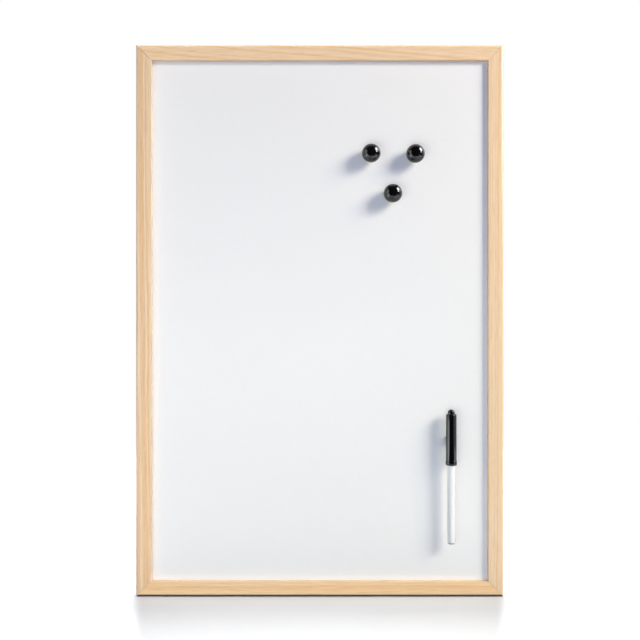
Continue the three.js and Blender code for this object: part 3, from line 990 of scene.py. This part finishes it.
boss_reach = cap_high.y - cap_base.y
boss_height = magnet_middle.z - cap_base.z
wall_radius = (BORE_RADIUS + CAP_RADIUS) / 2
pocket_radius, pocket_depth = pocket(magnet_size)
boss_profile = [
    (0, boss_reach - pocket_depth),
    (pocket_radius, boss_reach - pocket_depth),
    (pocket_radius, boss_reach),
    (BOSS_RADIUS - BOSS_CHAMFER, boss_reach),
    (BOSS_RADIUS, boss_reach - BOSS_CHAMFER),
    (BOSS_RADIUS, wall_radius),
    (0, wall_radius),
]
boss = bmesh.new()
rings = turn_into(boss, boss_profile)
for vertex in {*rings[-2], *rings[-1]}:
    vertex.co.z = math.sqrt(max(wall_radius**2 - vertex.co.x**2, 0))
boss.transform(Matrix.Translation((0, 0, boss_height)) @ BACK)
boss_mesh = bpy.data.meshes.new("boss")
boss.to_mesh(boss_mesh)
boss.free()
shape.from_mesh(boss_mesh)
bpy.data.meshes.remove(boss_mesh)
place_turned("cap", shape, cap_base, UP, black, "cap", "marker_cap")
place_disc("cap_disc", "cap", "marker_cap_magnet")
print("cap, mm:", mm(cap_size.z), "long, bead", mm(2 * bead_radius))

# %% [markdown]
# Barrel and fittings
#
# The barrel is a white polypropylene tube, extruded and cut to length, with die
# lines along it. The end plug and the nose are moulded in grey polypropylene,
# which is satin and waxy. The nib is pressed polyester felt, black with ink. All
# share one recipe: a tone, a sheen and a relief that run in streaks along the
# marker, drawn wider than real ones where those are too fine to show.


# %% Finishes of the marker
def drawn_plastic(name, dark, light, roughness, streak_width, streak_length):
    """Drawn or moulded polymer: satin or matt, with streaks along the marker."""
    material, tree, shader, place = new_material(name, IOR=1.49)
    stretched = add(
        tree,
        "ShaderNodeMapping",
        {"Vector": place, "Scale": along_axis("Z", 1 / streak_length, 1 / streak_width)},
    )
    streak = add(tree, "ShaderNodeTexNoise", {"Vector": stretched, "Scale": 1, "Detail": 3})
    tone = add(tree, "ShaderNodeValToRGB", {0: streak}, stops={NOISE_LOW: dark, NOISE_HIGH: light})
    gloss = add(
        tree,
        "ShaderNodeMapRange",
        {"Value": streak, **NOISE_SPAN, "To Min": roughness * 0.85, "To Max": roughness * 1.15},
    )
    relief = add(
        tree, "ShaderNodeBump", {"Strength": 0.15, "Distance": 0.01 * MM, "Height": streak}
    )
    drive(tree, shader, Base_Color=tone, Roughness=gloss, Normal=relief)
    return material


white_tube = drawn_plastic("extruded_polypropylene", "f0f0f1", "f5f5f5", 0.24, 0.9 * MM, 40 * MM)
grey_fitting = drawn_plastic("moulded_polypropylene", "aeb0b2", "bcbec0", 0.38, 2 * MM, 4 * MM)
felt = drawn_plastic("inked_felt", "0b0b0d", "26272b", 0.95, 0.2 * MM, 2 * MM)
wick = drawn_plastic("inked_wick", "1c1e24", "363941", 0.95, 0.3 * MM, 8 * MM)
print("finishes of the marker:", [m.name for m in (white_tube, grey_fitting, felt, wick)])

# %% [markdown]
# The marker's length is read from its pieces. The tube runs from the mouth of
# the cap to the rim of the end plug.

# %% Barrel, plug, nose, nib and wick
EDGE_RADIUS = 0.4 * MM
EDGE_STEPS = 4
BARREL_WALL = 0.8 * MM
PLUG_HEAD = 1.2 * MM
NOSE_COLLAR = 1.4 * MM
NOSE_BODY = 16 * MM
NOSE_TIP_RADIUS = 2.2 * MM
NOSE_RADIUS = 3.1 * MM
CAP_FIT = 0.15 * MM
NIB_STEPS = 12

axis_point = Vector((cap_base.x, cap_base.y, 0))


def lift(node):
    """Lowest and highest point of a piece, measured along the marker."""
    low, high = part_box(node)
    return low.z, high.z


def round_piece(name, profile, node, material, hollow=False):
    """One turned piece of the marker, drawn in the height of the row frame."""
    shape = bmesh.new()
    turn_into(shape, profile, hollow)
    place_turned(name, shape, axis_point, UP, material, "marker", node)


barrel_low, barrel_high = lift("marker_barrel")
barrel_radius = size_and_middle("marker_barrel")[0].x / 2
tube_bore = barrel_radius - BARREL_WALL
rim = barrel_radius - EDGE_RADIUS
barrel_profile = [
    (tube_bore, barrel_low),
    *arc(rim, barrel_low + EDGE_RADIUS, EDGE_RADIUS, -90, 0, EDGE_STEPS),
    *arc(rim, barrel_high - EDGE_RADIUS, EDGE_RADIUS, 0, 90, EDGE_STEPS),
    (tube_bore, barrel_high),
]
round_piece("barrel", barrel_profile, "marker_barrel", white_tube, hollow=True)

plug_low, plug_high = lift("marker_end_plug")
head_radius = size_and_middle("marker_end_plug")[0].x / 2
spigot = tube_bore - SEAT_CLEARANCE
plug_profile = [
    (0, plug_low),
    *arc(head_radius - EDGE_RADIUS, plug_low + EDGE_RADIUS, EDGE_RADIUS, -90, 0, EDGE_STEPS),
    (head_radius, plug_low + PLUG_HEAD),
    (spigot, plug_low + PLUG_HEAD),
    (spigot, plug_high),
    (0, plug_high),
]
round_piece("end_plug", plug_profile, "marker_end_plug", grey_fitting)

nose_low, nose_high = lift("marker_nose")
nib_low, nib_high = lift("marker_nib")
nib_radius = size_and_middle("marker_nib")[0].x / 2
nose_bore = nib_radius + SEAT_CLEARANCE
mouth = cap_base.z
collar = BORE_RADIUS - CAP_FIT
nose_profile = [
    (nose_bore, nose_low),
    (spigot, nose_low),
    (spigot, mouth),
    (collar, mouth),
    (collar, mouth + NOSE_COLLAR),
    (NOSE_RADIUS, mouth + NOSE_COLLAR),
    (NOSE_RADIUS, mouth + NOSE_BODY),
    (NOSE_TIP_RADIUS, nose_high),
    (nose_bore, nose_high),
]
round_piece("nose", nose_profile, "marker_nose", grey_fitting, hollow=True)

nib_profile = [
    (0, nib_low),
    (nib_radius, nib_low),
    *arc(0, nib_high - nib_radius, nib_radius, 0, 90, NIB_STEPS)[:-1],
    (0, nib_high),
]
round_piece("nib", nib_profile, "marker_nib", felt)
dress(nodes["marker_reservoir"], wick)
print("marker, mm:", mm(cap_high.z - plug_low))

# %% [markdown]
# Floor
#
# A product photograph has a white ground. To the camera and in reflections the
# floor is white paper with a glow of its own, so that it comes out white where
# the lamps reach it and pale grey in the shadow under the frame's front. The
# glow is strong beside the frame and weak before it, as the retouched ground in
# the photograph is, and the weak part narrows towards the front: the weak glow
# paints the outline of that shadow strip. Under the frame it fades out, a
# painted contact shade, so that the foot meets the table in a dark line. To
# scattered light the floor is a dark table, or it would fill the shadows from
# below.

# %% White floor
FLOOR_FRONT = 500 * MM
FLOOR_BACK = 900 * MM
FLOOR_SIDE = 1200 * MM
FLOOR_GLOW = 0.22
FLOOR_GLOW_ASIDE = 0.88
FLOOR_GLOW_COLOUR = (0.78, 0.85, 1, 1)
# The glow rises between these shares of the board's width, from its middle.
ASIDE_START, ASIDE_END = 0.48, 0.53
# The weak glow narrows towards the front by this much for each metre, painting the edges of the
# shadow strip.
ASIDE_SLOPE = 0.25
CONTACT_SHADE_REACH = 2.5 * MM
FLOOR_ALBEDO = 0.68
TABLE_ALBEDO = 0.12

floor_mesh = bpy.data.meshes.new("floor")
corners = [
    (-FLOOR_SIDE, -FLOOR_FRONT, floor_z),
    (FLOOR_SIDE, -FLOOR_FRONT, floor_z),
    (FLOOR_SIDE, FLOOR_BACK, floor_z),
    (-FLOOR_SIDE, FLOOR_BACK, floor_z),
]
floor_mesh.from_pydata(corners, [], [(0, 1, 2, 3)])
floor = into_scene("floor", floor_mesh)

paper = bpy.data.materials.new("white_paper")
tree = empty_tree(paper)
place = add(tree, "ShaderNodeTexCoord").outputs["Object"]
split = add(tree, "ShaderNodeSeparateXYZ", {"Vector": place})
from_middle = add(tree, "ShaderNodeMath", {0: split.outputs["X"]}, operation="ABSOLUTE")
in_front = add(tree, "ShaderNodeMath", {0: face_y, 1: split.outputs["Y"]}, operation="SUBTRACT")
aside = add(
    tree, "ShaderNodeMath", {0: in_front, 1: ASIDE_SLOPE, 2: from_middle}, operation="MULTIPLY_ADD"
)
# Painted shade: the glow is weak in a strip before the frame, in the outline of its shadow.
glow_painting_shadow_strip = add(
    tree,
    "ShaderNodeMapRange",
    {
        "Value": aside,
        "From Min": board_width * ASIDE_START,
        "From Max": board_width * ASIDE_END,
        "To Min": FLOOR_GLOW,
        "To Max": FLOOR_GLOW_ASIDE,
    },
    interpolation_type="SMOOTHSTEP",
)

# %% [markdown]
# The painted dark line of contact shade needs the distance of each floor point
# from the frame's foot. It is the larger of two: how far the point lies past
# the foot in depth, and how far in width. Both count from 2.5 mm inside the
# edge of the foot, and the glow rises from there to its full level at the edge.

# %% Painted contact shade under the foot
foot_middle_y = (face_y + rail_high.y) / 2
unlit_half_depth = (rail_high.y - face_y) / 2 - CONTACT_SHADE_REACH
unlit_half_width = board_width / 2 - CONTACT_SHADE_REACH
off_middle = add(
    tree, "ShaderNodeMath", {0: split.outputs["Y"], 1: foot_middle_y}, operation="SUBTRACT"
)
depth = add(tree, "ShaderNodeMath", {0: off_middle}, operation="ABSOLUTE")
past_depth = add(tree, "ShaderNodeMath", {0: depth, 1: unlit_half_depth}, operation="SUBTRACT")
past_width = add(
    tree, "ShaderNodeMath", {0: from_middle, 1: unlit_half_width}, operation="SUBTRACT"
)
past_foot = add(tree, "ShaderNodeMath", {0: past_depth, 1: past_width}, operation="MAXIMUM")
# Painted contact shade: the glow fades out under the foot.
out_of_painted_contact_shade = add(tree, "ShaderNodeMapRange", {"Value": past_foot, "From Max": CONTACT_SHADE_REACH})
glow_level = add(tree, "ShaderNodeMath", {0: glow_painting_shadow_strip, 1: out_of_painted_contact_shade}, operation="MULTIPLY")
glow = add(tree, "ShaderNodeEmission", {"Color": FLOOR_GLOW_COLOUR, "Strength": glow_level})
matt = add(tree, "ShaderNodeBsdfDiffuse", {"Color": [FLOOR_ALBEDO] * 3 + [1]})
table = add(tree, "ShaderNodeBsdfDiffuse", {"Color": [TABLE_ALBEDO] * 3 + [1]})
both = add(tree, "ShaderNodeAddShader", {0: glow, 1: matt})
ray = add(tree, "ShaderNodeLightPath")
seen = add(
    tree,
    "ShaderNodeMath",
    {0: ray.outputs["Is Camera Ray"], 1: ray.outputs["Is Glossy Ray"]},
    operation="MAXIMUM",
)
ground = add(tree, "ShaderNodeMixShader", {0: seen, 1: table, 2: both})
add(tree, "ShaderNodeOutputMaterial", {"Surface": ground})
floor_mesh.materials.append(paper)
print("floor at, mm:", mm(floor_z), "dark line, mm:", mm(CONTACT_SHADE_REACH))

# %% [markdown]
# World
#
# The world is white to the camera. To mirrors it is white behind the board and
# dark in front, where the photographer stands in a darkened room. All other
# light from it is a low, even fill.

# %% World
WORLD_FILL = 0.03
ROOM_DARK = 0.03
WHITE = (1, 1, 1, 1)
# Y of the mirrored direction where the dark room ends and full white starts
ROOM_END, WHITE_START = -0.15, 0.05

world = bpy.data.worlds.new("studio")
bpy.context.scene.world = world
tree = empty_tree(world)
ray = add(tree, "ShaderNodeLightPath")
white = add(tree, "ShaderNodeBackground", {"Color": WHITE, "Strength": 1.0})
fill = add(tree, "ShaderNodeBackground", {"Color": WHITE, "Strength": WORLD_FILL})
dark = add(tree, "ShaderNodeBackground", {"Color": WHITE, "Strength": ROOM_DARK})
direction = add(tree, "ShaderNodeTexCoord").outputs["Generated"]
split = add(tree, "ShaderNodeSeparateXYZ", {"Vector": direction})
behind = add(
    tree,
    "ShaderNodeMapRange",
    {"Value": split.outputs["Y"], "From Min": ROOM_END, "From Max": WHITE_START},
)
mirrored = add(tree, "ShaderNodeMixShader", {0: behind, 1: dark, 2: white})
mirror_ray = add(
    tree,
    "ShaderNodeMath",
    {0: ray.outputs["Is Glossy Ray"], 1: ray.outputs["Is Transmission Ray"]},
    operation="MAXIMUM",
)
unseen = add(tree, "ShaderNodeMixShader", {0: mirror_ray, 1: fill, 2: mirrored})
final = add(tree, "ShaderNodeMixShader", {0: ray.outputs["Is Camera Ray"], 1: unseen, 2: white})
add(tree, "ShaderNodeOutputWorld", {"Surface": final})
print("world: fill", WORLD_FILL, "of white paper")

# %% [markdown]
# Lamps
#
# Each lamp is a softbox: a rectangle with a brightness, where 1 is a white paper
# in full light. Most only light the board and aren't mirrored in it. The places
# and widths of those in front were found from the shadows of the magnets, and
# are given as slopes: metres sideways and upwards for each metre in front. Their
# brightness was fitted to the light on the photographed board, colour by colour.


# %% Softbox
def softbox(name, place, facing, width, height, brightness, card=False):
    """Area lamp. brightness is that of its surface, for red, green and blue.

    A card is only seen in gloss. Every other lamp only lights.
    """
    data = bpy.data.lights.new(name, "AREA")
    data.shape = "RECTANGLE"
    data.size = width
    data.size_y = height
    strongest = max(brightness)
    data.color = [level / strongest for level in brightness]
    data.energy = strongest * math.pi * width * height
    lamp = into_scene(name, data)
    lamp.matrix_world = Matrix.Translation(place) @ facing
    lamp.visible_camera = False
    if card:
        lamp.visible_diffuse = False
    else:
        lamp.visible_glossy = False


FACING_BACK = Matrix.Rotation(math.radians(90), 4, "X")
FACING_RIGHT = Matrix.Rotation(math.radians(-90), 4, "Z") @ FACING_BACK
FACING_LEFT = Matrix.Rotation(math.radians(90), 4, "Z") @ FACING_BACK
FACING_FRONT = Matrix.Rotation(math.radians(180), 4, "Z") @ FACING_BACK
FACING_DOWN = Matrix.Identity(4)
FACING_UP = Matrix.Rotation(math.radians(180), 4, "X")
magnets = sum((size_and_middle(f"magnet_{n}_ball")[1] for n in (1, 2, 3)), Vector()) / 3
print("middle of the magnets, mm:", [mm(v) for v in magnets])

# %% Lamps in front of the board
# Name, slopes of the place, slopes of the width and height, distance, brightness
for name, slopes, spread, distance, brightness in (
    ("key", (1.06, 0.74), (0.22, 0.16), 1.1, (35, 38, 38.5)),
    ("second", (1.0, 0.38), (0.4, 0.36), 1.4, (5.0, 3.7, 2.5)),
    ("wide", (1.45, 0.65), (0.8, 0.7), 1.1, (13.6, 13.9, 12.6)),
    ("high", (1.3, 0.95), (0.7, 0.6), 1.1, (12.5, 12.5, 11.3)),
    ("far", (2.3, 1.2), (1.0, 0.9), 0.9, (25, 20, 12.5)),
    ("front", (0.0, 0.0), (0.55, 0.55), 1.5, (0, 0, 1.7)),
):
    place = magnets + Vector((slopes[0], -1, slopes[1])) * distance
    width, height = spread[0] * distance, spread[1] * distance
    softbox(name, place, FACING_BACK, width, height, brightness)
    print(name, "at, m:", [round(v, 2) for v in place])

# %% [markdown]
# Weaker boxes stand nearer, two at the left and one low in front. They lighten
# the shadows as far as the photographed ones are, and the table throws a little
# light back up.

# %% Fill from the left and from below
# Name, place from the board's centre, width, height, brightness
for name, place, width, height, brightness in (
    ("low_left", (-0.5, -0.35, -0.1), 0.35, 0.35, (1.1, 0.8, 0.9)),
    ("high_left", (-0.45, -0.3, 0.4), 0.3, 0.3, (1.5, 1.65, 1.5)),
    ("low", (-0.15, -0.7, -0.14), 0.8, 0.3, (3.45, 3.95, 3.45)),
):
    softbox(name, board_centre + Vector(place), FACING_BACK, width, height, brightness)
table_place = Vector((0, -0.5, floor_z + 1 * MM))
softbox("bounce", table_place, FACING_UP, 0.9, 0.35, (0.5, 0.5, 0.5))
print("lamps so far:", len(bpy.data.lights))

# %% [markdown]
# Polished black shows nothing but what it mirrors. Pale cards at both sides draw
# the edges of the cap, and two bright ones high at the right are the highlights
# on the balls.

# %% Cards for the black plastic
CARD_TINT = (0.9, 0.95, 1.0)

# Name, centre and place from it, facing, width, height, level
for name, centre, place, facing, width, height, level in (
    ("card_left", board_centre, (-0.6, -0.24, 0.22), FACING_RIGHT, 0.4, 0.72, 2.3),
    ("card_cap", board_centre, (-0.6, -0.32, -0.22), FACING_RIGHT, 0.6, 0.15, 4.3),
    ("card_right", board_centre, (0.9, -0.45, -0.2), FACING_LEFT, 0.8, 0.2, 0.9),
    ("catch", magnets, (1.5, -0.47, 1.25), FACING_LEFT, 0.9, 1.2, 26),
    ("catch_low", magnets, (1.5, -0.62, 0.37), FACING_LEFT, 0.26, 0.26, 50),
):
    brightness = [share * level for share in CARD_TINT]
    softbox(name, centre + Vector(place), facing, width, height, brightness, card=True)
print("lamps and cards so far:", len(bpy.data.lights))

# %% [markdown]
# A long lamp far above and behind keeps the ground white. A soft one behind the
# board is for views of its back.

# %% Lamps for the ground and the back
top_place = Vector((0, 0.8, floor_z + 6))
softbox("top", top_place, FACING_DOWN, 0.2, 1.07, (400, 400, 400))
rear_place = board_centre + Vector((0.1, 1.1, 0.25))
softbox("rear", rear_place, FACING_FRONT, 1.1, 0.8, (3.8, 3.8, 3.9))
print("lamps and cards in all:", len(bpy.data.lights))
